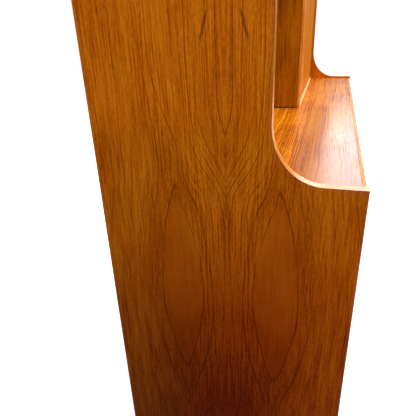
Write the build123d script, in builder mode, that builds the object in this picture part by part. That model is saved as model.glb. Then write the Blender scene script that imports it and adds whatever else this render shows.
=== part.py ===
from build123d import *
import os
from math import atan2, cos, degrees, hypot, radians, sin, tan

# Teak secretary desk: a deep chest of three drawers carries a shallower cabinet with
# an open book bay on the left and a fold-down writing flap on the right.
# X runs across the width, +Y to the back, +Z up; the origin is on the floor below the
# middle of the whole footprint. Millimetres throughout.

os.makedirs("parts", exist_ok=True)

# Carcase
overall_width = 1130
side_depth = 420
overall_height = 1190
case_bottom = 150
panel = 16
board = 18
lip = 6
tip_height = 740
step = 138
curve_run = 78
curve_rise = 88
ledge_drop = 5
board_recess = 2
back_thickness = 6
back_inset = 2
back_reveal = 1

# Drawers
drawer_recess = 3
front_thickness = 18
front_heights = (210, 180, 150)
front_gap = 2
side_gap = 1.5
box_depth = 365
box_side = 12
box_clearance = 5
box_rise = 12
box_drop = 14
ply = 4
bottom_rise = 6
groove_depth = 5
groove_start = 15
groove_play = 0.2
drawer_back_thickness = 12
drawer_back_inset = 4
drawer_back_drop = 8
runner = 10
runner_length = 350
runner_set_back = 46

# Knobs
knob_length = 22
knob_base = 9
knob_face = 15
knob_chamfer = 2
knob_tenon = 5
tenon_length = 12
knob_spacing = 620
flap_knob_drop = 38

# Book bay and letter rack
shelf_height = 1035
shelf_set_back = 10
shelf_back_gap = 1
pin_radius = 2.5
pin_pitch = 32
pin_inset = 45
letter_shelf_height = 985
letter_shelf_thickness = 10
letter_rack_set_back = 22
partition_set_back = 8
partition_thickness = 6
partition_count = 2

# Writing flap, its piano hinge and its stay
flap_recess = 7
flap_thickness = 16
flap_top_gap = 2
knuckle_radius = 2.5
knuckle_gap = 0.3
knuckle_pitch = 20
leaf_thickness = 1
leaf_reach = 15
leaf_rise = 0.8
hinge_pin_radius = 1
stay_pivot_back = 27
stay_pivot_up = 127
stay_guide_angle = 55
stay_width = 12
stay_thickness = 2.5
stay_side_gap = 5
stay_play = 0.5
stud_radius = 2.5
rivet_head = 1.5
rivet_radius = 4.5
ear_thickness = 2
foot_thickness = 1.5
foot_width = 20
foot_height = 36
foot_corner = 2
catch_radius = 4
catch_depth = 10
catch_offset = 70
ball_radius = 2.5

# Legs
leg_inset = 75
leg_cleat_width = 60
leg_cleat_thickness = 22
leg_cleat_margin = 35
leg_top_radius = 18
leg_foot_radius = 10
leg_splay = 6
glide_radius = 8
leg_overrun = 8
glide_thickness = 3
bolt_radius = 4
bolt_up = 16
bolt_down = 25

# Dowels and screws
dowel_radius = 4
dowel_in_board = 19
dowel_in_panel = 9
dowels_per_end = 4
upper_dowel_margin = 30
lower_dowel_margin = 45
divider_dowel_margin = 60
hole_spare = 0.5
fit_play = 0.05
screw_radius = 1.75
screw_head_radius = 3.4
screw_length = 25
screws_per_row = 5
screw_margin = 40

# Places worked out from the dimensions above
knob_proud = knob_length - drawer_recess
front = -(side_depth + knob_proud) / 2 + knob_proud
back = front + side_depth
upper_front = front + step
inner_x = overall_width / 2 - panel
ledge_top = tip_height - ledge_drop
ledge_bottom = ledge_top - board
top_bottom = overall_height - board
board_back = back - back_inset - back_thickness
board_front = front + board_recess
upper_board_front = upper_front + board_recess
divider_x = panel / 2
curve_centre = (upper_front - curve_run, tip_height + curve_rise)
flap_face = upper_front + flap_recess
flap_inner = flap_face + flap_thickness
axis_y = flap_face - knuckle_radius - knuckle_gap
axis_z = ledge_top + knuckle_radius + knuckle_gap
flap_bottom = axis_z + leaf_rise + leaf_thickness
flap_top = top_bottom - flap_top_gap
flap_x = (divider_x + side_gap, inner_x - side_gap)
flap_middle = (flap_x[0] + flap_x[1]) / 2
cleat_x = overall_width / 2 - leg_inset


def save(piece, label):
    """Label a finished piece and write it to its own file."""
    piece.part.label = label
    export_step(piece.part, f"parts/{label}.step")


def slab(x, y, z, drillings=(), slots=()):
    """A board between x, y and z limits, with round holes and rectangular grooves."""
    with BuildPart() as piece:
        with BuildSketch(Plane.XY.offset(z[0])):
            with Locations(((x[0] + x[1]) / 2, (y[0] + y[1]) / 2)):
                Rectangle(x[1] - x[0], y[1] - y[0])
        extrude(amount=z[1] - z[0])
        for plane, points, radius, depth in drillings:
            with BuildSketch(plane):
                with Locations(*points):
                    Circle(radius)
            extrude(amount=depth, mode=Mode.SUBTRACT)
        for slot_x, slot_y, slot_z in slots:
            with BuildSketch(Plane.XY.offset(slot_z[0])):
                with Locations(((slot_x[0] + slot_x[1]) / 2, (slot_y[0] + slot_y[1]) / 2)):
                    Rectangle(slot_x[1] - slot_x[0], slot_y[1] - slot_y[0])
            extrude(amount=slot_z[1] - slot_z[0], mode=Mode.SUBTRACT)
    return piece


def spread(low, high, count, margin):
    """Evenly spaced places from one end of a board to the other."""
    pitch = (high - low - 2 * margin) / (count - 1)
    return [low + margin + pitch * index for index in range(count)]


# Dowel places: each board end carries a row, and the divider stands on two at each end
upper_dowels = spread(upper_board_front, board_back, dowels_per_end, upper_dowel_margin)
lower_dowels = spread(board_front, board_back, dowels_per_end, lower_dowel_margin)
dowel_rows = {
    "top": (upper_dowels, overall_height - board / 2),
    "ledge": (lower_dowels, ledge_top - board / 2),
    "bottom": (lower_dowels, case_bottom + board / 2),
}
divider_dowels = [
    (0, upper_board_front + divider_dowel_margin),
    (0, board_back - divider_dowel_margin),
]


def end_holes(row):
    """Dowel holes in both ends of one board."""
    places, height = dowel_rows[row]
    points = [(y, height) for y in places]
    depth = dowel_in_board + hole_spare
    return [
        (Plane.YZ.offset(-inner_x), points, dowel_radius, depth),
        (Plane.YZ.offset(inner_x), points, dowel_radius, -depth),
    ]


# Back panel screws, as x and z places on the back
screw_x = spread(-inner_x, inner_x, screws_per_row, screw_margin)
upper_back_z = (ledge_top - board / 2, overall_height - back_reveal)
lower_back_z = (case_bottom + back_reveal, ledge_top - board / 2)
upper_screw_rows = (ledge_top - board / 4, overall_height - board / 2)
lower_screw_rows = (case_bottom + board / 2, ledge_bottom + board / 4)
back_face = Plane(origin=(0, back - back_inset, 0), x_dir=(-1, 0, 0), z_dir=(0, 1, 0))
board_back_face = Plane(origin=(0, board_back, 0), x_dir=(-1, 0, 0), z_dir=(0, 1, 0))


def screw_points(rows):
    """Screw places in the coordinates of the back planes."""
    return [(-x, z) for z in rows for x in screw_x]


def pilot_holes(rows):
    """Pilot holes in a board's rear edge."""
    depth = screw_length - back_thickness + hole_spare
    return (board_back_face, screw_points(rows), screw_radius + fit_play, -depth)


# Side panels and their solid front edge strips
pin_rows = [shelf_height - pin_radius + pin_pitch * index for index in (-1, 0, 1)]
pin_columns = (upper_front + pin_inset, board_back - pin_inset)
pin_depth = dowel_in_panel + hole_spare
guide_reach = hypot(stay_pivot_back, stay_pivot_up)
guide_y = axis_y + guide_reach * cos(radians(stay_guide_angle))
guide_z = axis_z + guide_reach * sin(radians(stay_guide_angle))

for side, name in ((-1, "left"), (1, "right")):
    outer_face = side * overall_width / 2
    inner_face = side * inner_x
    start = Plane.YZ.offset(min(outer_face, inner_face))
    with BuildPart() as side_panel:
        with BuildSketch(start):
            with BuildLine():
                arc = EllipticalCenterArc(
                    curve_centre, curve_run + lip, curve_rise + lip, 270, arc_size=90
                )
                Polyline(
                    arc @ 1,
                    (upper_front + lip, overall_height),
                    (back, overall_height),
                    (back, case_bottom),
                    (front + lip, case_bottom),
                    (front + lip, tip_height - lip),
                    arc @ 0,
                )
            make_face()
        extrude(amount=panel)
        for places, height in dowel_rows.values():
            with BuildSketch(Plane.YZ.offset(inner_face)):
                with Locations(*[(y, height) for y in places]):
                    Circle(dowel_radius)
            extrude(amount=side * (dowel_in_panel + hole_spare), mode=Mode.SUBTRACT)
        with BuildSketch(Plane.YZ.offset(inner_face)):
            if side < 0:
                with Locations(*[(y, z) for y in pin_columns for z in pin_rows]):
                    Circle(pin_radius)
            else:
                with Locations((guide_y, guide_z)):
                    Circle(stud_radius)
        extrude(amount=side * pin_depth, mode=Mode.SUBTRACT)
    save(side_panel, f"side_panel_{name}")

    with BuildPart() as side_lipping:
        with BuildSketch(start):
            with BuildLine():
                outer = EllipticalCenterArc(
                    curve_centre, curve_run, curve_rise, 270, arc_size=90
                )
                inner = EllipticalCenterArc(
                    curve_centre, curve_run + lip, curve_rise + lip, 270, arc_size=90
                )
                Polyline(
                    outer @ 1,
                    (upper_front, overall_height),
                    (upper_front + lip, overall_height),
                    inner @ 1,
                )
                Polyline(
                    inner @ 0,
                    (front + lip, tip_height - lip),
                    (front + lip, case_bottom),
                    (front, case_bottom),
                    (front, tip_height),
                    outer @ 0,
                )
            make_face()
        extrude(amount=panel)
    save(side_lipping, f"side_lipping_{name}")

# Horizontal boards with their solid front strips
board_x = (-inner_x, inner_x)
divider_hole = dowel_in_board + hole_spare
shallow_hole = dowel_in_panel + hole_spare
catch_place = (flap_middle + catch_offset, flap_face + flap_thickness / 2)

top_board = slab(
    board_x,
    (upper_board_front + lip, board_back),
    (top_bottom, overall_height),
    end_holes("top")
    + [
        pilot_holes(upper_screw_rows[1:]),
        (Plane.XY.offset(top_bottom), divider_dowels, dowel_radius, shallow_hole),
        (Plane.XY.offset(top_bottom), [catch_place], catch_radius, catch_depth),
    ],
)
save(top_board, "top_board")

ledge_board = slab(
    board_x,
    (board_front + lip, board_back),
    (ledge_bottom, ledge_top),
    end_holes("ledge")
    + [
        pilot_holes((upper_screw_rows[0], lower_screw_rows[1])),
        (Plane.XY.offset(ledge_top), divider_dowels, dowel_radius, -shallow_hole),
    ],
)
save(ledge_board, "ledge_board")

bottom_board = slab(
    board_x,
    (board_front + lip, board_back),
    (case_bottom, case_bottom + board),
    end_holes("bottom") + [pilot_holes(lower_screw_rows[:1])],
)
save(bottom_board, "bottom_board")

save(
    slab(board_x, (upper_board_front, upper_board_front + lip), (top_bottom, overall_height)),
    "top_lipping",
)
save(slab(board_x, (board_front, board_front + lip), (ledge_bottom, ledge_top)), "ledge_lipping")
save(
    slab(board_x, (board_front, board_front + lip), (case_bottom, case_bottom + board)),
    "bottom_lipping",
)

# Upright divider between the two bays
upper_divider = slab(
    (-divider_x, divider_x),
    (upper_board_front + lip, board_back),
    (ledge_top, top_bottom),
    [
        (Plane.XY.offset(ledge_top), divider_dowels, dowel_radius, divider_hole),
        (Plane.XY.offset(top_bottom), divider_dowels, dowel_radius, -divider_hole),
        (
            Plane.YZ.offset(-divider_x),
            [(y, z) for y in pin_columns for z in pin_rows],
            pin_radius,
            pin_depth,
        ),
    ],
)
save(upper_divider, "upper_divider")
save(
    slab(
        (-divider_x, divider_x),
        (upper_board_front, upper_board_front + lip),
        (ledge_top, top_bottom),
    ),
    "divider_lipping",
)

with BuildPart() as case_dowels:
    for side in (-1, 1):
        start_x = min(side * (inner_x - dowel_in_board), side * (inner_x + dowel_in_panel))
        with BuildSketch(Plane.YZ.offset(start_x)):
            for places, height in dowel_rows.values():
                with Locations(*[(y, height) for y in places]):
                    Circle(dowel_radius - fit_play)
        extrude(amount=dowel_in_board + dowel_in_panel)
    for start_z in (ledge_top - dowel_in_panel, top_bottom - dowel_in_board):
        with BuildSketch(Plane.XY.offset(start_z)):
            with Locations(*divider_dowels):
                Circle(dowel_radius - fit_play)
        extrude(amount=dowel_in_board + dowel_in_panel)
save(case_dowels, "case_dowels")

# Back panels and their countersunk screws
back_panels = (
    ("upper_back", upper_back_z, upper_screw_rows),
    ("lower_back", lower_back_z, lower_screw_rows),
)
for label, (low, high), rows in back_panels:
    with BuildPart() as back_panel:
        with BuildSketch(Plane.XY.offset(low)):
            with Locations((0, board_back + back_thickness / 2)):
                Rectangle(2 * inner_x, back_thickness)
        extrude(amount=high - low)
        with Locations(back_face):
            with Locations(*screw_points(rows)):
                CounterSinkHole(
                    radius=screw_radius + fit_play,
                    counter_sink_radius=screw_head_radius + 4 * fit_play,
                    depth=2 * back_thickness,
                    counter_sink_angle=90,
                )
    save(back_panel, label)

with BuildPart() as back_screws:
    with BuildSketch(back_face):
        with Locations(*screw_points(upper_screw_rows + lower_screw_rows)):
            Circle(screw_head_radius)
    extrude(amount=-(screw_head_radius - screw_radius), taper=45)
    with BuildSketch(back_face):
        with Locations(*screw_points(upper_screw_rows + lower_screw_rows)):
            Circle(screw_radius)
    extrude(amount=-screw_length)
save(back_screws, "back_screws")

# Adjustable shelf of the book bay, on four pins
adjustable_shelf = slab(
    (-inner_x + hole_spare, -divider_x - hole_spare),
    (upper_front + shelf_set_back, board_back - shelf_back_gap),
    (shelf_height, shelf_height + panel),
)
save(adjustable_shelf, "adjustable_shelf")

with BuildPart() as shelf_pins:
    for start_x in (-inner_x - dowel_in_panel, -divider_x - dowel_in_panel):
        with BuildSketch(Plane.YZ.offset(start_x)):
            with Locations(*[(y, pin_rows[1]) for y in pin_columns]):
                Circle(pin_radius - fit_play)
        extrude(amount=2 * dowel_in_panel)
save(shelf_pins, "shelf_pins")

# Letter rack behind the flap
rack_front = flap_inner + letter_rack_set_back
rack_x = (divider_x, inner_x)
save(
    slab(
        rack_x,
        (rack_front, board_back),
        (letter_shelf_height, letter_shelf_height + letter_shelf_thickness),
    ),
    "letter_shelf",
)
hole_width = (rack_x[1] - rack_x[0]) / (partition_count + 1)
for number in range(1, partition_count + 1):
    middle = rack_x[0] + hole_width * number
    save(
        slab(
            (middle - partition_thickness / 2, middle + partition_thickness / 2),
            (rack_front + partition_set_back, board_back),
            (letter_shelf_height + letter_shelf_thickness, top_bottom),
        ),
        f"letter_partition_{number}",
    )


def build_knob(places, face_y):
    """Turned cone-shaped knobs with a tenon, pointing to the front."""
    profile = (
        (0, knob_length),
        (knob_face - knob_chamfer, knob_length),
        (knob_face, knob_length - knob_chamfer),
        (knob_base, 0),
        (knob_tenon - fit_play, 0),
        (knob_tenon - fit_play, -tenon_length),
        (0, -tenon_length),
    )
    with BuildPart() as knob:
        for x, z in places:
            turning = Plane(origin=(x, face_y, z), x_dir=(1, 0, 0), z_dir=(0, 0, 1))
            with BuildSketch(turning):
                with BuildLine():
                    Polyline(*[(radius, -reach) for radius, reach in profile], close=True)
                make_face()
            revolve(axis=Axis((x, face_y, z), (0, 1, 0)))
    return knob


# Three drawers on side-hung runners
front_x = (-inner_x + side_gap, inner_x - side_gap)
front_y = front + drawer_recess
box_front = front_y + front_thickness
box_back = box_front + box_depth
box_outer = inner_x - box_clearance
box_inner = box_outer - box_side
bottom_reach = box_inner + groove_depth
rail_depth = runner - box_clearance + 2 * groove_play
drawer_back_y = (
    box_back - drawer_back_inset - drawer_back_thickness,
    box_back - drawer_back_inset,
)
runner_heights = []
front_low = case_bottom + board + front_gap
for number, height in zip((3, 2, 1), front_heights):
    box_z = (front_low + box_rise, front_low + height - box_drop)
    ply_z = (box_z[0] + bottom_rise, box_z[0] + bottom_rise + ply)
    slot_z = (ply_z[0] - groove_play / 2, ply_z[1] + groove_play / 2)
    runner_z = (box_z[0] + box_z[1]) / 2 - runner / 2
    runner_heights.append(runner_z)
    knob_z = front_low + height / 2
    knob_places = [(-knob_spacing / 2, knob_z), (knob_spacing / 2, knob_z)]
    tenon_hole = (
        Plane.XZ.offset(-front_y),
        knob_places,
        knob_tenon,
        -(tenon_length + hole_spare),
    )
    slot_y = (box_front - groove_depth, box_back)
    drawer_front = slab(
        front_x,
        (front_y, box_front),
        (front_low, front_low + height),
        [tenon_hole],
        [((-bottom_reach, bottom_reach), slot_y, slot_z)],
    )
    save(drawer_front, f"drawer_{number}_front")
    for side, name in ((-1, "left"), (1, "right")):
        wall_x = sorted((side * box_inner, side * box_outer))
        bottom_slot_x = sorted((side * box_inner, side * bottom_reach))
        rail_slot_x = sorted((side * box_outer, side * (box_outer - rail_depth)))
        rail_slot_z = (runner_z - groove_play, runner_z + runner + groove_play)
        drawer_side = slab(
            wall_x,
            (box_front, box_back),
            box_z,
            slots=[
                (bottom_slot_x, (box_front, box_back), slot_z),
                (rail_slot_x, (box_front + groove_start, box_back), rail_slot_z),
            ],
        )
        save(drawer_side, f"drawer_{number}_side_{name}")
    drawer_back = slab(
        (-box_inner, box_inner),
        drawer_back_y,
        (ply_z[1], box_z[1] - drawer_back_drop),
    )
    save(drawer_back, f"drawer_{number}_back")
    drawer_bottom = slab(
        (-bottom_reach + groove_play, bottom_reach - groove_play),
        (box_front - groove_depth + groove_play, drawer_back_y[1]),
        ply_z,
    )
    save(drawer_bottom, f"drawer_{number}_bottom")
    save(build_knob(knob_places, front_y), f"drawer_{number}_knobs")
    front_low += height + front_gap

runner_y = front + runner_set_back + runner_length / 2
for side, name in ((-1, "left"), (1, "right")):
    with BuildPart() as runners:
        for runner_z in runner_heights:
            with BuildSketch(Plane.XY.offset(runner_z)):
                with Locations((side * (inner_x - runner / 2), runner_y)):
                    Rectangle(runner, runner_length)
            extrude(amount=runner)
    save(runners, f"drawer_runners_{name}")

# Writing flap: veneered panel in a solid frame of edge strips, and its knob
knob_place = (flap_middle, flap_top - flap_knob_drop)
flap_panel = slab(
    (flap_x[0] + lip, flap_x[1] - lip),
    (flap_face, flap_inner),
    (flap_bottom + lip, flap_top - lip),
    [(Plane.XZ.offset(-flap_face), [knob_place], knob_tenon, -(tenon_length + hole_spare))],
)
save(flap_panel, "flap_panel")

with BuildPart() as flap_lipping:
    with BuildSketch(Plane.XZ.offset(-flap_inner)):
        with Locations((flap_middle, (flap_bottom + flap_top) / 2)):
            Rectangle(flap_x[1] - flap_x[0], flap_top - flap_bottom)
            Rectangle(
                flap_x[1] - flap_x[0] - 2 * lip,
                flap_top - flap_bottom - 2 * lip,
                mode=Mode.SUBTRACT,
            )
    extrude(amount=flap_thickness)
save(flap_lipping, "flap_lipping")
save(build_knob([knob_place], flap_face), "flap_knob")

# Piano hinge: two leaves with knuckles in turn along one pin
knuckle_count = int((flap_x[1] - flap_x[0]) / knuckle_pitch)
hinge_start = flap_middle - knuckle_count * knuckle_pitch / 2
hinge_end = hinge_start + knuckle_count * knuckle_pitch
strip_y = (axis_y + knuckle_radius + knuckle_gap, axis_y + leaf_reach)
leaves = (
    ("hinge_case_leaf", 0, ledge_top),
    ("hinge_flap_leaf", 1, flap_bottom - leaf_thickness),
)
for label, first, leaf_low in leaves:
    with BuildPart() as leaf:
        with BuildSketch(Plane.XY.offset(leaf_low)):
            with Locations(((hinge_start + hinge_end) / 2, (strip_y[0] + strip_y[1]) / 2)):
                Rectangle(hinge_end - hinge_start, strip_y[1] - strip_y[0])
            for index in range(first, knuckle_count, 2):
                middle = hinge_start + knuckle_pitch * (index + 0.5)
                with Locations((middle, (axis_y + strip_y[0]) / 2)):
                    Rectangle(knuckle_pitch - knuckle_gap, strip_y[0] - axis_y)
        extrude(amount=leaf_thickness)
        for index in range(first, knuckle_count, 2):
            with BuildSketch(Plane.YZ.offset(hinge_start + knuckle_pitch * index + knuckle_gap / 2)):
                with Locations((axis_y, axis_z)):
                    Circle(knuckle_radius)
            extrude(amount=knuckle_pitch - knuckle_gap)
        with BuildSketch(Plane.YZ.offset(hinge_start)):
            with Locations((axis_y, axis_z)):
                Circle(hinge_pin_radius + fit_play)
        extrude(amount=hinge_end - hinge_start, mode=Mode.SUBTRACT)
    save(leaf, label)

with BuildPart() as hinge_pin:
    with BuildSketch(Plane.YZ.offset(hinge_start)):
        with Locations((axis_y, axis_z)):
            Circle(hinge_pin_radius)
    extrude(amount=hinge_end - hinge_start)
save(hinge_pin, "hinge_pin")

# Stay: a slotted arm turns on the flap's bracket and slides over a stud in the side
# panel. Pivot and stud lie equally far from the hinge, so the arm turns half as far as
# the flap does.
pivot_y = axis_y + stay_pivot_back
pivot_z = axis_z + stay_pivot_up
closed_span = hypot(guide_y - pivot_y, guide_z - pivot_z)
spread_angle = atan2(stay_pivot_up, stay_pivot_back) - radians(stay_guide_angle)
open_span = 2 * guide_reach * sin(spread_angle / 2 + radians(45))
arm_angle = degrees(atan2(guide_z - pivot_z, guide_y - pivot_y))
arm_length = open_span + 1.5 * stay_width
arm_x = inner_x - stay_side_gap
outer_washer_x = arm_x + stay_thickness + stay_play
arm_plane = Plane(
    origin=(arm_x, pivot_y, pivot_z),
    x_dir=(0, cos(radians(arm_angle)), sin(radians(arm_angle))),
    z_dir=(1, 0, 0),
)
with BuildPart() as stay_arm:
    with BuildSketch(arm_plane):
        with Locations(((arm_length - stay_width) / 2, 0)):
            SlotOverall(arm_length, stay_width)
        Circle(stud_radius, mode=Mode.SUBTRACT)
        with Locations(((closed_span + open_span) / 2, 0)):
            SlotCenterToCenter(
                open_span - closed_span + 2 * stay_play, 2 * stud_radius, mode=Mode.SUBTRACT
            )
    extrude(amount=stay_thickness)
save(stay_arm, "stay_arm")

with BuildPart() as stay_stud:
    with BuildSketch(Plane.YZ.offset(arm_x - rivet_head - stay_play)):
        with Locations((guide_y, guide_z)):
            Circle(rivet_radius)
    extrude(amount=rivet_head)
    with BuildSketch(Plane.YZ.offset(arm_x - rivet_head)):
        with Locations((guide_y, guide_z)):
            Circle(stud_radius - fit_play)
    extrude(amount=inner_x + dowel_in_panel - arm_x + rivet_head)
    with BuildSketch(Plane.YZ.offset(outer_washer_x)):
        with Locations((guide_y, guide_z)):
            Circle(rivet_radius)
    extrude(amount=inner_x - outer_washer_x)
save(stay_stud, "stay_stud")

ear_x = (arm_x - stay_play - ear_thickness, arm_x - stay_play)
with BuildPart() as stay_bracket:
    with BuildSketch(Plane.XZ.offset(-flap_inner - foot_thickness)):
        with Locations((ear_x[1] - foot_width / 2, pivot_z)):
            RectangleRounded(foot_width, foot_height, foot_corner)
    extrude(amount=foot_thickness)
    with BuildSketch(Plane.YZ.offset(ear_x[0])):
        with Locations(((flap_inner + pivot_y) / 2, pivot_z)):
            Rectangle(pivot_y - flap_inner, stay_width)
        with Locations((pivot_y, pivot_z)):
            Circle(stay_width / 2)
    extrude(amount=ear_x[1] - ear_x[0])
    with BuildSketch(Plane.YZ.offset(ear_x[0])):
        with Locations((pivot_y, pivot_z)):
            Circle(stud_radius - fit_play)
    extrude(amount=outer_washer_x - ear_x[0])
    with BuildSketch(Plane.YZ.offset(outer_washer_x)):
        with Locations((pivot_y, pivot_z)):
            Circle(rivet_radius)
    extrude(amount=rivet_head / 2)
save(stay_bracket, "stay_bracket")

# Ball catch that holds the closed flap
with BuildPart() as flap_catch:
    with BuildSketch(Plane.XY.offset(top_bottom)):
        with Locations(catch_place):
            Circle(catch_radius - fit_play)
    extrude(amount=catch_depth - hole_spare)
    with Locations((*catch_place, top_bottom + ball_radius - flap_top_gap / 2)):
        Sphere(ball_radius)
save(flap_catch, "flap_catch")

# Under-frame: a cleat below each end, and four splayed turned legs on bolts
cleat_z = (case_bottom - leg_cleat_thickness, case_bottom)
leg_rows = (front + leg_inset, back - leg_inset)
leg_lean = tan(radians(leg_splay))
leg_taper = degrees(atan2(leg_top_radius - leg_foot_radius, cleat_z[0]))


def leg_plane(side, toward, y):
    """A plane at the top of a leg, its normal running down the leg's axis."""
    return Plane(
        origin=(side * cleat_x, y, cleat_z[0]),
        z_dir=(side * leg_lean, toward * leg_lean, -1),
    )


for side, name in ((-1, "left"), (1, "right")):
    with BuildPart() as leg_cleat:
        with BuildSketch(Plane.XY.offset(cleat_z[0])):
            with Locations((side * cleat_x, (front + back) / 2)):
                Rectangle(leg_cleat_width, side_depth - 2 * leg_cleat_margin)
        extrude(amount=leg_cleat_thickness)
        for toward, y in zip((-1, 1), leg_rows):
            with BuildSketch(leg_plane(side, toward, y)):
                Circle(bolt_radius + fit_play)
            extrude(amount=bolt_up + hole_spare, both=True, mode=Mode.SUBTRACT)
    save(leg_cleat, f"leg_cleat_{name}")
    for toward, y, end in zip((-1, 1), leg_rows, ("front", "back")):
        axis_plane = leg_plane(side, toward, y)
        with BuildPart() as leg:
            with BuildSketch(axis_plane.offset(-leg_overrun)):
                Circle(leg_top_radius)
            extrude(amount=cleat_z[0] + 2 * leg_overrun, taper=leg_taper)
            with BuildSketch(axis_plane.offset(-leg_overrun)):
                Circle(bolt_radius + fit_play)
            extrude(amount=leg_overrun + bolt_down + hole_spare, mode=Mode.SUBTRACT)
            split(bisect_by=Plane.XY.offset(cleat_z[0]), keep=Keep.BOTTOM)
            split(bisect_by=Plane.XY.offset(glide_thickness), keep=Keep.TOP)
        save(leg, f"leg_{end}_{name}")

with BuildPart() as leg_bolts:
    for side in (-1, 1):
        for toward, y in zip((-1, 1), leg_rows):
            with BuildSketch(leg_plane(side, toward, y).offset(-bolt_up)):
                Circle(bolt_radius)
            extrude(amount=bolt_up + bolt_down)
save(leg_bolts, "leg_bolts")

with BuildPart() as foot_glides:
    foot_shift = (cleat_z[0] - glide_thickness) * leg_lean
    with BuildSketch(Plane.XY):
        for side in (-1, 1):
            for toward, y in zip((-1, 1), leg_rows):
                with Locations((side * (cleat_x + foot_shift), y + toward * foot_shift)):
                    Circle(glide_radius)
    extrude(amount=glide_thickness)
save(foot_glides, "foot_glides")
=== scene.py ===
import math

import bpy
from mathutils import Matrix, Vector


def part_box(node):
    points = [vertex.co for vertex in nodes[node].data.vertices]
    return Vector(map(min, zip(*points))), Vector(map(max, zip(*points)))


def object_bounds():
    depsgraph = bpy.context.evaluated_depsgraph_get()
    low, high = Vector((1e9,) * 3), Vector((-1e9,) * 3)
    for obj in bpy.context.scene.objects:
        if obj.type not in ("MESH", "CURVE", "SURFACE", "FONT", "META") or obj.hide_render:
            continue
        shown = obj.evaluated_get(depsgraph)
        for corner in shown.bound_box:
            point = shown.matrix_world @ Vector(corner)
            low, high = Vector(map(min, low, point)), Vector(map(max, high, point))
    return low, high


# A teak secretary desk, seen from its left end and from above. Metres, in the frame of
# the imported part: X across the desk, +Y to the back, +Z up.

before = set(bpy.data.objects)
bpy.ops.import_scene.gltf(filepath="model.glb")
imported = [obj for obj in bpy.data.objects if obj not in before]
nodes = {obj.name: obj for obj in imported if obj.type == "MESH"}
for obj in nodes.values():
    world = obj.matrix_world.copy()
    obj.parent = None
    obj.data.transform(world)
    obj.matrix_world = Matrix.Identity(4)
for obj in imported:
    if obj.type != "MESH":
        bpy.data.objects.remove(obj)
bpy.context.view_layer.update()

MM = 0.001
X, Y, Z = 0, 1, 2
front_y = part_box("side_lipping_left")[0].y
back_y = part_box("side_panel_left")[1].y
left_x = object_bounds()[0].x
ledge_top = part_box("ledge_board")[1].z

# The side panels' tips stand just above the ledge, and the joint between the two halves
# of their veneer lies just in front of the middle.
tip_above_ledge = 5 * MM
joint_off_middle = 6 * MM
tip_z = ledge_top + tip_above_ledge
joint_y = (front_y + back_y) / 2 - joint_off_middle

# The same places in millimetres, the unit of the wood shaders
tip_mm = tip_z / MM
joint_mm = joint_y / MM
ledge_mm = ledge_top / MM
front_mm = front_y / MM
left_mm = left_x / MM

edge_radius = 1.2 * MM
wood_relief = 0.4 * MM
hard_relief = 0.2 * MM


# ---------------------------------------------------------------- shader helpers


class Graph:
    """Builds a shader from short calls; numbers and sockets mix freely."""

    def __init__(self, tree):
        self.tree = tree

    def node(self, kind, **settings):
        made = self.tree.nodes.new(kind)
        for key, value in settings.items():
            setattr(made, key, value)
        return made

    def feed(self, socket, value):
        if isinstance(value, bpy.types.NodeSocket):
            self.tree.links.new(value, socket)
        else:
            socket.default_value = value

    def math(self, operation, first, second=0.0, third=0.0):
        made = self.node("ShaderNodeMath", operation=operation)
        for socket, value in zip(made.inputs, (first, second, third)):
            self.feed(socket, value)
        return made.outputs[0]

    def add(self, first, second):
        return self.math("ADD", first, second)

    def sub(self, first, second):
        return self.math("SUBTRACT", first, second)

    def mul(self, first, second):
        return self.math("MULTIPLY", first, second)

    def band(self, value, low, high, out_low=0.0, out_high=1.0):
        """Smooth step of a value: out_low at low, out_high at high."""
        made = self.node("ShaderNodeMapRange", interpolation_type="SMOOTHSTEP")
        for socket, number in zip(made.inputs, (value, low, high, out_low, out_high)):
            self.feed(socket, number)
        return made.outputs[0]

    def vector(self, x, y, z):
        made = self.node("ShaderNodeCombineXYZ")
        for socket, value in zip(made.inputs, (x, y, z)):
            self.feed(socket, value)
        return made.outputs[0]

    def noise(self, vector, scale, detail, roughness=0.5):
        made = self.node("ShaderNodeTexNoise")
        self.feed(made.inputs["Vector"], vector)
        made.inputs["Scale"].default_value = scale
        made.inputs["Detail"].default_value = detail
        made.inputs["Roughness"].default_value = roughness
        return made.outputs["Fac"]

    def mix(self, factor, first, second, blend="MIX"):
        made = self.node("ShaderNodeMix", data_type="RGBA", blend_type=blend)
        self.feed(made.inputs["Factor"], factor)
        for socket, value in zip((made.inputs[6], made.inputs[7]), (first, second)):
            self.feed(socket, value)
        return made.outputs[2]

    def ramp(self, value, stops):
        """Colour at a value, between stops of a place and a colour."""
        made = self.node("ShaderNodeValToRGB")
        elements = made.color_ramp.elements
        while len(elements) < len(stops):
            elements.new(0.5)
        for element, (place, colour) in zip(elements, stops):
            element.position = place
            element.color = colour
        self.feed(made.inputs[0], value)
        return made.outputs[0]

    def bump(self, height, strength, distance, normal):
        """Normal over a relief of the given depth in metres."""
        made = self.node("ShaderNodeBump")
        self.feed(made.inputs["Normal"], normal)
        made.inputs["Strength"].default_value = strength
        made.inputs["Distance"].default_value = distance
        self.feed(made.inputs["Height"], height)
        return made.outputs[0]


def new_material(name):
    """A material with one Principled shader; gives the material, its graph and shader."""
    material = bpy.data.materials.new(name)
    material.use_nodes = True
    tree = material.node_tree
    return material, Graph(tree), tree.nodes["Principled BSDF"]


def rgb(red, green, blue):
    """A linear colour from 8-bit display values."""

    def linear(value):
        value /= 255
        return value / 12.92 if value <= 0.04045 else ((value + 0.055) / 1.055) ** 2.4

    return (linear(red), linear(green), linear(blue), 1.0)


def grain_axes(g, across, along):
    """Object coordinates in millimetres: across the grain, along it and into the board."""
    place = g.node("ShaderNodeTexCoord").outputs["Object"]
    parts = g.node("ShaderNodeSeparateXYZ")
    g.feed(parts.inputs[0], place)
    inward = ({X, Y, Z} - {across, along}).pop()
    return [g.mul(parts.outputs[axis], 1 / MM) for axis in (across, along, inward)]


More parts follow.
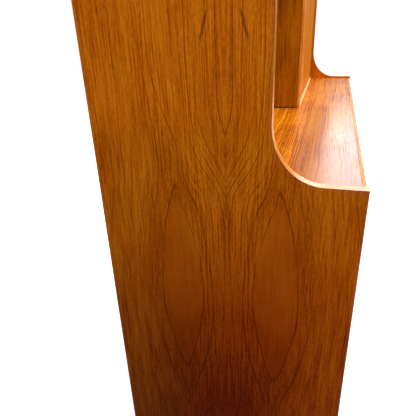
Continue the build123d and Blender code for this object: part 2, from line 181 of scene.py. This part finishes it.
# ---------------------------------------------------------------- wood


def panel_figure(g, side, along):
    """Crown figure of one half of a side panel, in millimetres away from the joint.

    Each half has a long oval, and the lines between the joint and the oval climb and
    spread as nested points. Level 0 is the oval's outline; the levels fall outwards.
    """
    oval_side = 83
    oval_lean = 35
    roundness = 8
    pull_reach = 65
    points_level = 92
    points_slope = 2.0
    blend = 5.0
    slope_inside = 0.08
    height = g.sub(along, tip_mm)

    # Distance from the oval's axis, which leans outwards above the tips
    spread = g.mul(g.band(height, -20, 200), g.band(side, 200, 105))
    off_axis = g.sub(side, g.add(g.mul(spread, oval_lean), oval_side))
    distance = g.math("SQRT", g.add(g.mul(off_axis, off_axis), roundness**2))
    distance = g.sub(distance, roundness)

    # Half width of the oval, which opens downwards and closes again lower down
    near_axis = g.band(g.math("ABSOLUTE", off_axis), 95, 5)
    opening = g.band(height, 140, -260, -16, 31)
    closing = g.mul(g.band(height, -170, -560, 0, -54), near_axis)
    around_oval = g.sub(g.add(opening, closing), distance)

    # The points: upright lines, lifted into peaks at the joint
    pull = g.math("EXPONENT", g.mul(g.mul(side, side), -1 / pull_reach**2))
    climb = g.mul(g.band(height, 131, -118, 0, 76), pull)
    points = g.add(g.add(side, climb), g.band(height, -42, -182, 0, 80))
    points = g.mul(g.sub(points, points_level), points_slope)

    level = g.math("SMOOTH_MIN", points, around_oval, blend)
    inside = g.mul(g.math("MAXIMUM", level, 0), slope_inside)
    return g.add(g.math("MINIMUM", level, 0), inside)


def plain_figure(g, across, along, seed):
    """Flat-sawn figure of a long board: one drawn-out crown off its middle."""
    centre = -140.0 + 83.0 * (seed % 5)
    taper = 0.055
    roundness = 30
    place = g.add(across, 25.0 - 19.0 * (seed % 4))
    fall = g.mul(g.sub(along, centre), taper)
    return g.math("SQRT", g.add(g.add(g.mul(place, place), g.mul(fall, fall)), roundness))


def matched_marks(g, side, along, wander):
    """The levels of a matched panel and how strong its marks are from place to place.

    Gives the wander, which dies out at the straight joint, the levels, the vigour of the
    fibres, the share of the streaks and the extra boldness of the ring lines.
    """
    wander = g.mul(wander, g.band(side, 0, 50, 0.08, 1))
    level = panel_figure(g, g.add(side, wander), along)
    height = g.sub(along, tip_mm)

    # The fibres are calm inside the ovals, lively beside the joint and near the floor
    calm = g.band(level, -3, 1, 1.15, 0.5)
    beside_joint = g.mul(g.band(side, 62, 40), g.band(height, 40, -80, 0, 0.6))
    near_floor = g.band(height, -230, -450, 0, 0.8)
    vigour = g.mul(calm, g.add(g.add(1, beside_joint), near_floor))

    # The streaks fade far from the ovals
    followed = g.band(level, -50, -110, 1, 0.62)

    # The lines are bolder round the ovals and on the climbing points
    outline = g.band(level, -22, -16, 0, 0.14)
    at_points = g.mul(g.band(side, 110, 30), g.band(height, -90, -20))
    climbing = g.band(height, 240, 60, 0, 0.14)
    bolder = g.math("MAXIMUM", g.mul(outline, 0.5), g.mul(at_points, climbing))
    return wander, level, vigour, followed, bolder


def late_wood(g, level, along, seed, bolder, contrast, draw):
    """Strength of the dark ring lines: sharp on one side and broken along their run.

    The rings lie further apart in level where the levels crowd.
    """
    crowded_level = -50
    ring_gap = 18
    crowded_gap = 21
    rings = g.add(
        g.mul(g.math("MAXIMUM", level, crowded_level), 1 / ring_gap),
        g.mul(g.math("MINIMUM", g.sub(level, crowded_level), 0.0), 1 / crowded_gap),
    )
    uneven = g.vector(g.mul(g.math("MINIMUM", level, -24), 0.04), seed * 3.7, 0)
    uneven = g.noise(uneven, 1, 1)
    shift = g.mul(g.sub(uneven, 0.5), g.band(level, -22, -40, 0, 1.6))
    ring = g.math("FRACT", g.mul(g.add(rings, shift), -1))
    sharp_side = 0.03
    soft_side = g.band(level, -50, -80, 0.15, 0.24)
    line = g.mul(g.band(ring, 0.0, sharp_side), g.band(ring, soft_side, sharp_side))

    breaks = g.vector(g.mul(level, 0.05), g.mul(along, 0.007 / draw), seed * 1.3)
    breaks = g.noise(breaks, 1, 3)
    whole = g.band(g.add(breaks, bolder), 0.42, 0.58, 0, 0.6 * contrast)
    return g.mul(line, g.mul(whole, g.add(0.9, g.mul(bolder, 2.6))))


def wood_surface(g, grain, seed, tones, matched=False, contrast=1.0, draw=1.0):
    """Colour, pores and relief of a wood surface.

    Figure lines, streaks that follow them, open pores and cloudy tone. grain is the axis
    across the grain and the one along it; tones are light, middle, dark and line colours.
    A matched surface is two mirrored halves that meet at the joint of a side panel.
    draw lengthens the streaks.
    """
    u, v, w = grain_axes(g, *grain)
    if matched:
        u = g.math("ABSOLUTE", g.sub(u, joint_mm))

    # Every seed reads its own part of the noise
    su = g.add(u, 317.0 * seed)
    sv = g.add(v, 911.0 * seed)
    sw = g.add(w, 131.0 * seed)

    def scaled(across, along):
        """The seed's place with one scale across the grain and one along it."""
        return g.vector(g.mul(su, across), g.mul(sv, along), g.mul(sw, across))

    # The grain wanders sideways, slowly at large scale and a little at small scale
    slow = g.noise(scaled(0.005, 0.0022), 1, 2)
    quick = g.noise(scaled(0.04, 0.009), 1, 2)
    wander = g.add(g.mul(g.sub(slow, 0.5), 24), g.mul(g.sub(quick, 0.5), 7))
    if matched:
        wander, level, vigour, followed, bolder = matched_marks(g, u, v, wander)
    else:
        level = plain_figure(g, g.add(u, wander), v, seed)
        vigour = 1.15
        followed = 1.0
        bolder = 0.0

    def streak(width, length, detail, roughness=0.55):
        """Noise drawn out along the level lines, with the width and length of its marks."""
        place = g.vector(g.mul(level, 1 / width), g.mul(sv, 1 / (length * draw)), seed * 5.1)
        return g.sub(g.noise(place, 1, detail, roughness), 0.5)

    def fibre(width, length, detail):
        """Straight short fibres."""
        place = g.vector(
            g.mul(g.add(su, wander), 1 / width),
            g.mul(sv, 1 / (length * draw)),
            g.mul(sw, 1 / width),
        )
        return g.sub(g.noise(place, 1, detail, 0.6), 0.5)

    broad = streak(60, 900, 2)
    medium = streak(15, 380, 3)
    fine = streak(3.6, 170, 3, 0.65)
    threads = g.mul(fibre(2.2, 90, 3), vigour)
    flecks = g.mul(fibre(1.5, 7, 2), vigour)
    clouds = g.sub(g.noise(scaled(0.014, 0.006), 1, 3), 0.5)
    streaks = g.add(g.add(g.mul(broad, 0.5), g.mul(medium, 0.48)), g.mul(fine, 0.8))
    tone = g.add(g.mul(streaks, followed), g.add(g.mul(threads, 1.5), g.mul(clouds, 0.8)))
    tone = g.add(tone, g.mul(flecks, 0.8))
    tone = g.add(g.mul(tone, contrast), 0.5)
    light, middle, dark, deep = tones
    colour = g.ramp(tone, [(0.1, dark), (0.48, middle), (0.9, light)])
    colour = g.mix(late_wood(g, level, sv, seed, bolder, contrast, draw), colour, deep)

    # Open pores: short dark dashes along the grain
    pore = g.band(fibre(0.9, 14, 2), 0.1, 0.26)
    colour = g.mix(g.mul(pore, 0.34 * contrast), colour, deep)
    relief = g.sub(g.mul(g.add(fine, threads), 0.6), g.mul(pore, 0.8))
    return colour, pore, relief


def worn_edges(g, colour, wear):
    """Rubs the colour paler along the edges; gives it and the eased normal."""
    eased = g.node("ShaderNodeBevel", samples=4)
    eased.inputs["Radius"].default_value = edge_radius
    facing = g.node("ShaderNodeVectorMath", operation="DOT_PRODUCT")
    g.feed(facing.inputs[0], eased.outputs[0])
    g.feed(facing.inputs[1], g.node("ShaderNodeNewGeometry").outputs["Normal"])
    place = g.node("ShaderNodeTexCoord").outputs["Object"]
    rubbed = g.band(g.noise(place, 14.0, 3), 0.35, 0.65, 0.3, 1.0)
    edge = g.mul(g.band(facing.outputs["Value"], 0.99, 0.8), rubbed)
    paler = g.mix(1.0, colour, (1.35, 1.45, 1.9, 1), "MULTIPLY")
    return g.mix(g.mul(edge, wear), colour, paler), eased.outputs[0]


def finish_wood(material, g, shader, surface, gloss, specular):
    """Satin lacquer over a wood surface, rubbed thin at the edges.

    gloss is the lacquer's mean roughness.
    """
    colour, pore, relief = surface
    colour, eased = worn_edges(g, colour, wear=0.8)
    g.feed(shader.inputs["Base Color"], colour)
    place = g.node("ShaderNodeTexCoord").outputs["Object"]
    patches = g.sub(g.noise(place, 9.0, 3), 0.5)
    roughness = g.add(g.mul(patches, 0.08), g.add(g.mul(pore, 0.12), gloss))
    g.feed(shader.inputs["Roughness"], roughness)
    shader.inputs["Specular IOR Level"].default_value = specular
    g.feed(shader.inputs["Normal"], g.bump(relief, 0.2, wood_relief, eased))
    return material


def wood(name, across, along, seed, tones, gloss=0.42, contrast=1.0, specular=0.22):
    """A lacquered board with its grain along one axis."""
    material, g, shader = new_material(name)
    surface = wood_surface(g, (across, along), seed, tones, contrast=contrast)
    return finish_wood(material, g, shader, surface, gloss, specular)


def paint_low_shade(g, colour, shade_depth):
    """Painted shade: the side panels' veneer is darker and redder towards the floor and in the
    middle, standing in for the light falling off downwards.
    """
    across, along, _ = grain_axes(g, Y, Z)

    # The painted shade is darkest in a strip just behind the joint
    darkest = joint_mm + 16
    # low: how much painted shade falls at each height, strongest near the floor
    low = g.band(along, tip_mm + 160, tip_mm - 560, 0, shade_depth)
    off = g.sub(across, darkest)
    front = g.band(off, 150, -60)
    inward = g.mul(g.band(off, 210, 30, 0.66, 1.0), g.band(off, -210, -30, 0.3, 1.0))
    # Painted shade: multiply the colour darker and redder where low is strong
    colour = g.mix(g.mul(low, inward), colour, (0.38, 0.17, 0.1, 1), "MULTIPLY")
    return g.mix(g.mul(g.band(low, 0, 0.6), front), colour, (1.06, 0.78, 0.4, 1), "MULTIPLY")


def mineral_streaks(g, colour):
    """A short dark mineral streak on each side of the joint, high on the panel."""
    across, along, _ = grain_axes(g, Y, Z)
    side = g.math("ABSOLUTE", g.sub(across, joint_mm))
    height = g.sub(along, tip_mm)
    meeting_height = 316
    slant = 0.27
    frayed = g.noise(g.vector(g.mul(across, 0.3), g.mul(along, 0.06), 0.0), 1, 2)
    place = g.sub(side, g.mul(g.sub(meeting_height, height), slant))
    place = g.math("ABSOLUTE", g.add(place, g.mul(g.sub(frayed, 0.5), 5)))
    length = g.mul(g.band(height, 188, 208), g.band(height, 238, 226))
    mark = g.mul(g.band(place, 2.6, 0.8), length)
    return g.mix(g.mul(mark, 0.64), colour, rgb(70, 28, 14))


def side_veneer(name, seed, shade_depth):
    """Book-matched veneer of a side panel."""
    material, g, shader = new_material(name)
    colour, pore, relief = wood_surface(g, (Y, Z), seed, TEAK, matched=True)
    # Painted shade towards the floor over the veneer's own colour
    colour = paint_low_shade(g, mineral_streaks(g, colour), shade_depth)
    surface = (colour, pore, relief)
    return finish_wood(material, g, shader, surface, gloss=0.4, specular=0.09)


def divider_veneer():
    """The divider's veneer, darkened all over as painted shade inside the bay, with a painted
    contact shadow as a dark line where it stands on the ledge.
    """
    material, g, shader = new_material("teak_divider")
    # The divider's tones are the teak darkened as painted shade for its place inside the bay
    colour, pore, relief = wood_surface(g, (Y, Z), 11, TEAK_SHADED)
    _, along, _ = grain_axes(g, Y, Z)
    # Painted contact shadow: a dark band in the lowest millimetres of the divider, above the
    # ledge
    foot = g.band(g.sub(along, ledge_mm), 5.0, 1.0, 0.0, 0.8)
    colour = g.mix(foot, colour, rgb(40, 16, 2))
    surface = (colour, pore, relief)
    return finish_wood(material, g, shader, surface, gloss=0.42, specular=0.04)


def ledge_veneer():
    """Bright striped veneer of the ledge, darkened with painted shade near its left front
    corner.
    """
    material, g, shader = new_material("teak_ledge")
    colour, pore, relief = wood_surface(g, (Y, X), 3, TEAK_LEDGE, contrast=1.5, draw=4)
    across, along, _ = grain_axes(g, Y, X)
    # Painted shade: the front of the ledge near its left end is darkened
    near_front = g.band(across, front_mm + 150, front_mm + 70)
    near_left = g.band(along, left_mm + 900, left_mm + 150)
    painted_front_shade = g.mul(near_front, near_left)
    colour = g.mix(painted_front_shade, colour, (0.55, 0.42, 0.3, 1), "MULTIPLY")
    surface = (colour, pore, relief)
    return finish_wood(material, g, shader, surface, gloss=0.2, specular=0.45)


def veneered_edge(name, seed, face_seed, shade_depth, specular):
    """A side panel's edge strip: solid wood in front, the panel's veneer on its faces."""
    material, g, shader = new_material(name)
    edge_colour, edge_pore, edge_relief = wood_surface(g, (X, Z), seed, TEAK_SOLID)
    face_colour, face_pore, face_relief = wood_surface(
        g, (Y, Z), face_seed, TEAK, matched=True
    )
    normal = g.node("ShaderNodeSeparateXYZ")
    g.feed(normal.inputs[0], g.node("ShaderNodeNewGeometry").outputs["True Normal"])
    sideways = g.band(g.math("ABSOLUTE", normal.outputs[X]), 0.75, 0.95)
    frontal = g.sub(1, sideways)
    # The edge's faces get the same painted shade towards the floor as the panel
    colour = g.mix(sideways, edge_colour, paint_low_shade(g, face_colour, shade_depth))
    pore = g.add(g.mul(edge_pore, frontal), g.mul(face_pore, sideways))
    relief = g.add(g.mul(edge_relief, frontal), g.mul(face_relief, sideways))
    gloss = g.band(sideways, 0, 1, 0.2, 0.4)
    return finish_wood(material, g, shader, (colour, pore, relief), gloss, specular)


# Light, middle, dark and line colour of each wood
TEAK = (rgb(206, 117, 16), rgb(182, 93, 6), rgb(148, 65, 2), rgb(84, 28, 1))
TEAK_LEDGE = (rgb(250, 164, 36), rgb(224, 126, 10), rgb(166, 74, 2), rgb(96, 34, 2))
TEAK_FLAP = (rgb(222, 142, 34), rgb(204, 120, 14), rgb(172, 90, 4), rgb(120, 50, 2))
# A darker copy of the teak for the divider: painted shade inside the bay
TEAK_SHADED = (rgb(182, 108, 10), rgb(154, 84, 3), rgb(122, 60, 1), rgb(76, 26, 1))
TEAK_SOLID = (rgb(232, 156, 74), rgb(216, 134, 52), rgb(184, 100, 26), rgb(126, 60, 12))
BEECH = (rgb(228, 196, 150), rgb(216, 180, 130), rgb(198, 158, 108), rgb(160, 118, 74))
PLY = (rgb(226, 184, 130), rgb(212, 164, 108), rgb(190, 140, 86), rgb(142, 98, 56))


# ---------------------------------------------------------------- metal and plastic


def metal(name, colour, roughness):
    """Aged metal: dull patches and fine drawn lines along the desk."""
    material, g, shader = new_material(name)
    u, v, w = grain_axes(g, Y, X)
    drawn = g.noise(g.vector(g.mul(u, 3.0), g.mul(v, 0.05), g.mul(w, 3.0)), 1, 3)
    patches = g.noise(g.vector(g.mul(u, 0.09), g.mul(v, 0.09), g.mul(w, 0.09)), 1, 4, 0.6)
    dull = tuple(channel * 0.55 for channel in colour[:3]) + (1.0,)
    tarnished = g.mix(g.band(patches, 0.45, 0.75), colour, dull)
    tarnished, eased = worn_edges(g, tarnished, wear=0.4)
    g.feed(shader.inputs["Base Color"], tarnished)
    shader.inputs["Metallic"].default_value = 0.9
    worn = g.add(g.mul(g.sub(drawn, 0.5), 0.18), g.add(g.mul(patches, 0.2), roughness - 0.1))
    g.feed(shader.inputs["Roughness"], worn)
    g.feed(shader.inputs["Normal"], g.bump(drawn, 0.15, hard_relief, eased))
    return material


def plastic(name, colour, roughness):
    """Moulded plastic with a faint mottle and scuffs."""
    material, g, shader = new_material(name)
    mottle = g.noise(g.vector(*grain_axes(g, X, Y)), 0.6, 3)
    pale = tuple(min(1.0, channel * 1.8 + 0.01) for channel in colour[:3]) + (1.0,)
    mottled = g.mix(g.band(mottle, 0.5, 0.8), colour, pale)
    scuffed, eased = worn_edges(g, mottled, wear=0.6)
    g.feed(shader.inputs["Base Color"], scuffed)
    g.feed(shader.inputs["Roughness"], g.add(g.mul(mottle, 0.2), roughness - 0.1))
    g.feed(shader.inputs["Normal"], g.bump(mottle, 0.2, hard_relief, eased))
    return material


# ---------------------------------------------------------------- the pieces


def assign(node, material):
    """Gives every slot of a CAD node one material."""
    mesh = nodes[node].data
    if not mesh.materials:
        mesh.materials.append(material)
    for index in range(len(mesh.materials)):
        mesh.materials[index] = material


# Each side's seed, name, strength of its painted shade towards the floor and edge specular
for seed, side, shade_depth, specular in ((0, "left", 1.0, 0.5), (4, "right", 0.45, 0.12)):
    assign(f"side_panel_{side}", side_veneer(f"teak_side_{side}", seed, shade_depth))
    edge = veneered_edge(f"teak_edge_{side}", seed + 21, seed, shade_depth, specular)
    assign(f"side_lipping_{side}", edge)

# Each board's axis across the grain, axis along it and seed
teak_boards = {
    "top_board": (Y, X, 5),
    "bottom_board": (Y, X, 8),
    "adjustable_shelf": (Y, X, 9),
    "letter_shelf": (Y, X, 10),
    "letter_partition_1": (Y, Z, 12),
    "letter_partition_2": (Y, Z, 13),
    "drawer_1_front": (Z, X, 15),
    "drawer_2_front": (Z, X, 16),
    "drawer_3_front": (Z, X, 17),
    "upper_back": (X, Z, 18),
}
for node, (across, along, seed) in teak_boards.items():
    assign(node, wood(f"teak_{node}", across, along, seed, TEAK))
assign("ledge_board", ledge_veneer())
assign("upper_divider", divider_veneer())
assign("flap_panel", wood("teak_flap", X, Z, 14, TEAK_FLAP, gloss=0.5, specular=0.06))

solid_pieces = {
    "top_lipping": (Z, X, 31),
    "ledge_lipping": (Z, X, 32),
    "bottom_lipping": (Z, X, 33),
    "divider_lipping": (X, Z, 34),
    "flap_lipping": (X, Z, 35),
    "flap_knob": (X, Z, 36),
    "drawer_1_knobs": (X, Z, 37),
    "drawer_2_knobs": (X, Z, 38),
    "drawer_3_knobs": (X, Z, 39),
    "leg_cleat_left": (X, Y, 40),
    "leg_cleat_right": (X, Y, 41),
    "leg_front_left": (X, Z, 42),
    "leg_front_right": (X, Z, 43),
    "leg_back_left": (X, Z, 44),
    "leg_back_right": (X, Z, 45),
}
for node, (across, along, seed) in solid_pieces.items():
    assign(node, wood(f"solid_{node}", across, along, seed, TEAK_SOLID))

drawer_sides = {"side_left": (Z, Y), "side_right": (Z, Y), "back": (Z, X)}
for number in (1, 2, 3):
    seed = 50 + 3 * number
    for part, (across, along) in drawer_sides.items():
        name = f"beech_drawer_{number}_{part}"
        beech = wood(name, across, along, seed, BEECH, contrast=0.5)
        assign(f"drawer_{number}_{part}", beech)
    ply = wood(f"ply_drawer_{number}", X, Y, 70 + number, PLY, gloss=0.6, contrast=0.6)
    assign(f"drawer_{number}_bottom", ply)
assign("lower_back", wood("ply_back", X, Z, 80, PLY, gloss=0.6, contrast=0.6))
beech_plain = wood("beech_plain", Z, Y, 81, BEECH, gloss=0.55, contrast=0.5)
for node in ("case_dowels", "drawer_runners_left", "drawer_runners_right"):
    assign(node, beech_plain)

brass = metal("brass", rgb(244, 208, 138), 0.42)
for node in (
    "shelf_pins",
    "hinge_case_leaf",
    "hinge_flap_leaf",
    "hinge_pin",
    "stay_arm",
    "stay_stud",
    "stay_bracket",
    "flap_catch",
):
    assign(node, brass)
steel = metal("zinc_steel", rgb(186, 188, 192), 0.4)
for node in ("back_screws", "leg_bolts"):
    assign(node, steel)
assign("foot_glides", plastic("glide_nylon", rgb(52, 44, 38), 0.5))


# ---------------------------------------------------------------- stage, light, camera


def build_floor():
    """A pale floor. It lights the desk only faintly from below."""
    size = 30.0
    low = -0.5 * MM
    corners = [(-size, -size, low), (size, -size, low), (size, size, low), (-size, size, low)]
    mesh = bpy.data.meshes.new("floor")
    mesh.from_pydata(corners, [], [(0, 1, 2, 3)])
    floor = bpy.data.objects.new("floor", mesh)
    bpy.context.collection.objects.link(floor)
    material, g, shader = new_material("floor")
    seen = g.node("ShaderNodeLightPath").outputs["Is Camera Ray"]
    tint = g.mix(seen, (0.12, 0.12, 0.12, 1), (0.9, 0.9, 0.9, 1))
    g.feed(shader.inputs["Base Color"], tint)
    shader.inputs["Roughness"].default_value = 0.9
    shader.inputs["Specular IOR Level"].default_value = 0.0
    shader.inputs["Emission Color"].default_value = (1, 1, 1, 1)

    # It glows less close to the desk, where the desk's shadow falls
    away = g.node("ShaderNodeVectorMath", operation="LENGTH")
    g.feed(away.inputs[0], g.node("ShaderNodeTexCoord").outputs["Object"])
    glow = g.band(away.outputs["Value"], 0.65, 1.9, 0.5, 1)
    g.feed(shader.inputs["Emission Strength"], g.mul(seen, glow))
    mesh.materials.append(material)


def area_light(name, place, target, size, power, spread=180.0, shine=True):
    """A rectangular soft light at one point that faces another, with or without a shine."""
    data = bpy.data.lights.new(name, "AREA")
    data.shape = "RECTANGLE"
    data.size, data.size_y = size
    data.energy = power
    data.spread = math.radians(spread)
    light = bpy.data.objects.new(name, data)
    light.location = place
    aim = Vector(target) - Vector(place)
    light.rotation_mode = "QUATERNION"
    light.rotation_quaternion = aim.to_track_quat("-Z", "Y")
    light.visible_glossy = shine
    bpy.context.collection.objects.link(light)


def build_world():
    """White surroundings for the camera, dim ones for the light."""
    world = bpy.data.worlds.new("studio")
    bpy.context.scene.world = world
    world.use_nodes = True
    g = Graph(world.node_tree)
    background = world.node_tree.nodes["Background"]
    seen = g.node("ShaderNodeLightPath").outputs["Is Camera Ray"]
    g.feed(background.inputs["Color"], g.mix(seen, (0.1, 0.1, 0.1, 1), (1, 1, 1, 1)))
    background.inputs["Strength"].default_value = 1.0


def build_camera():
    """Close to the left end, level with the cabinet and looking down along the ledge."""
    yaw, pitch, roll = (math.radians(angle) for angle in (16.64, -25.07, -2.085))
    data = bpy.data.cameras.new("camera")
    data.lens = 36.0
    data.sensor_width = 36.0
    camera = bpy.data.objects.new("camera", data)
    camera.location = (left_x - 0.5669, front_y + 0.0642, tip_z + 0.2293)
    forward = Vector(
        (
            math.cos(pitch) * math.cos(yaw),
            math.cos(pitch) * math.sin(yaw),
            math.sin(pitch),
        )
    )
    turn = forward.to_track_quat("-Z", "Y").to_matrix() @ Matrix.Rotation(roll, 3, "Z")
    camera.rotation_mode = "QUATERNION"
    camera.rotation_quaternion = turn.to_quaternion()
    bpy.context.collection.objects.link(camera)
    bpy.context.scene.camera = camera


build_floor()
build_world()
build_camera()

# Each light's place, target, size, power in watts and spread in degrees
area_light("key", (-2.4, -0.5, 1.4), (-0.56, 0.0, 1.55), (0.8, 0.8), 9.2, 95, shine=False)
area_light("top", (0.2, -0.5, 3.0), (0, 0, 0.7), (2.4, 1.6), 34)
area_light("right", (3.0, -1.0, 2.3), (0.2, -0.3, 0.75), (1.9, 1.65), 20.5, 120)
area_light("bay", (-0.25, -1.2, 2.3), (-0.25, 0.0, 0.75), (0.8, 0.6), 2.3, 50, shine=False)
area_light("front", (0.2, -3.0, 1.9), (0, 0, 0.9), (3.0, 1.6), 56)
area_light("back_left", (-2.0, 1.6, 1.7), (-0.56, 0.2, 1.0), (1.0, 1.0), 4.8, 110, shine=False)
area_light("back", (0.6, 3.4, 2.0), (0, 0, 0.7), (2.6, 1.6), 45, 130)
bpy.context.scene.view_settings.view_transform = "Standard"
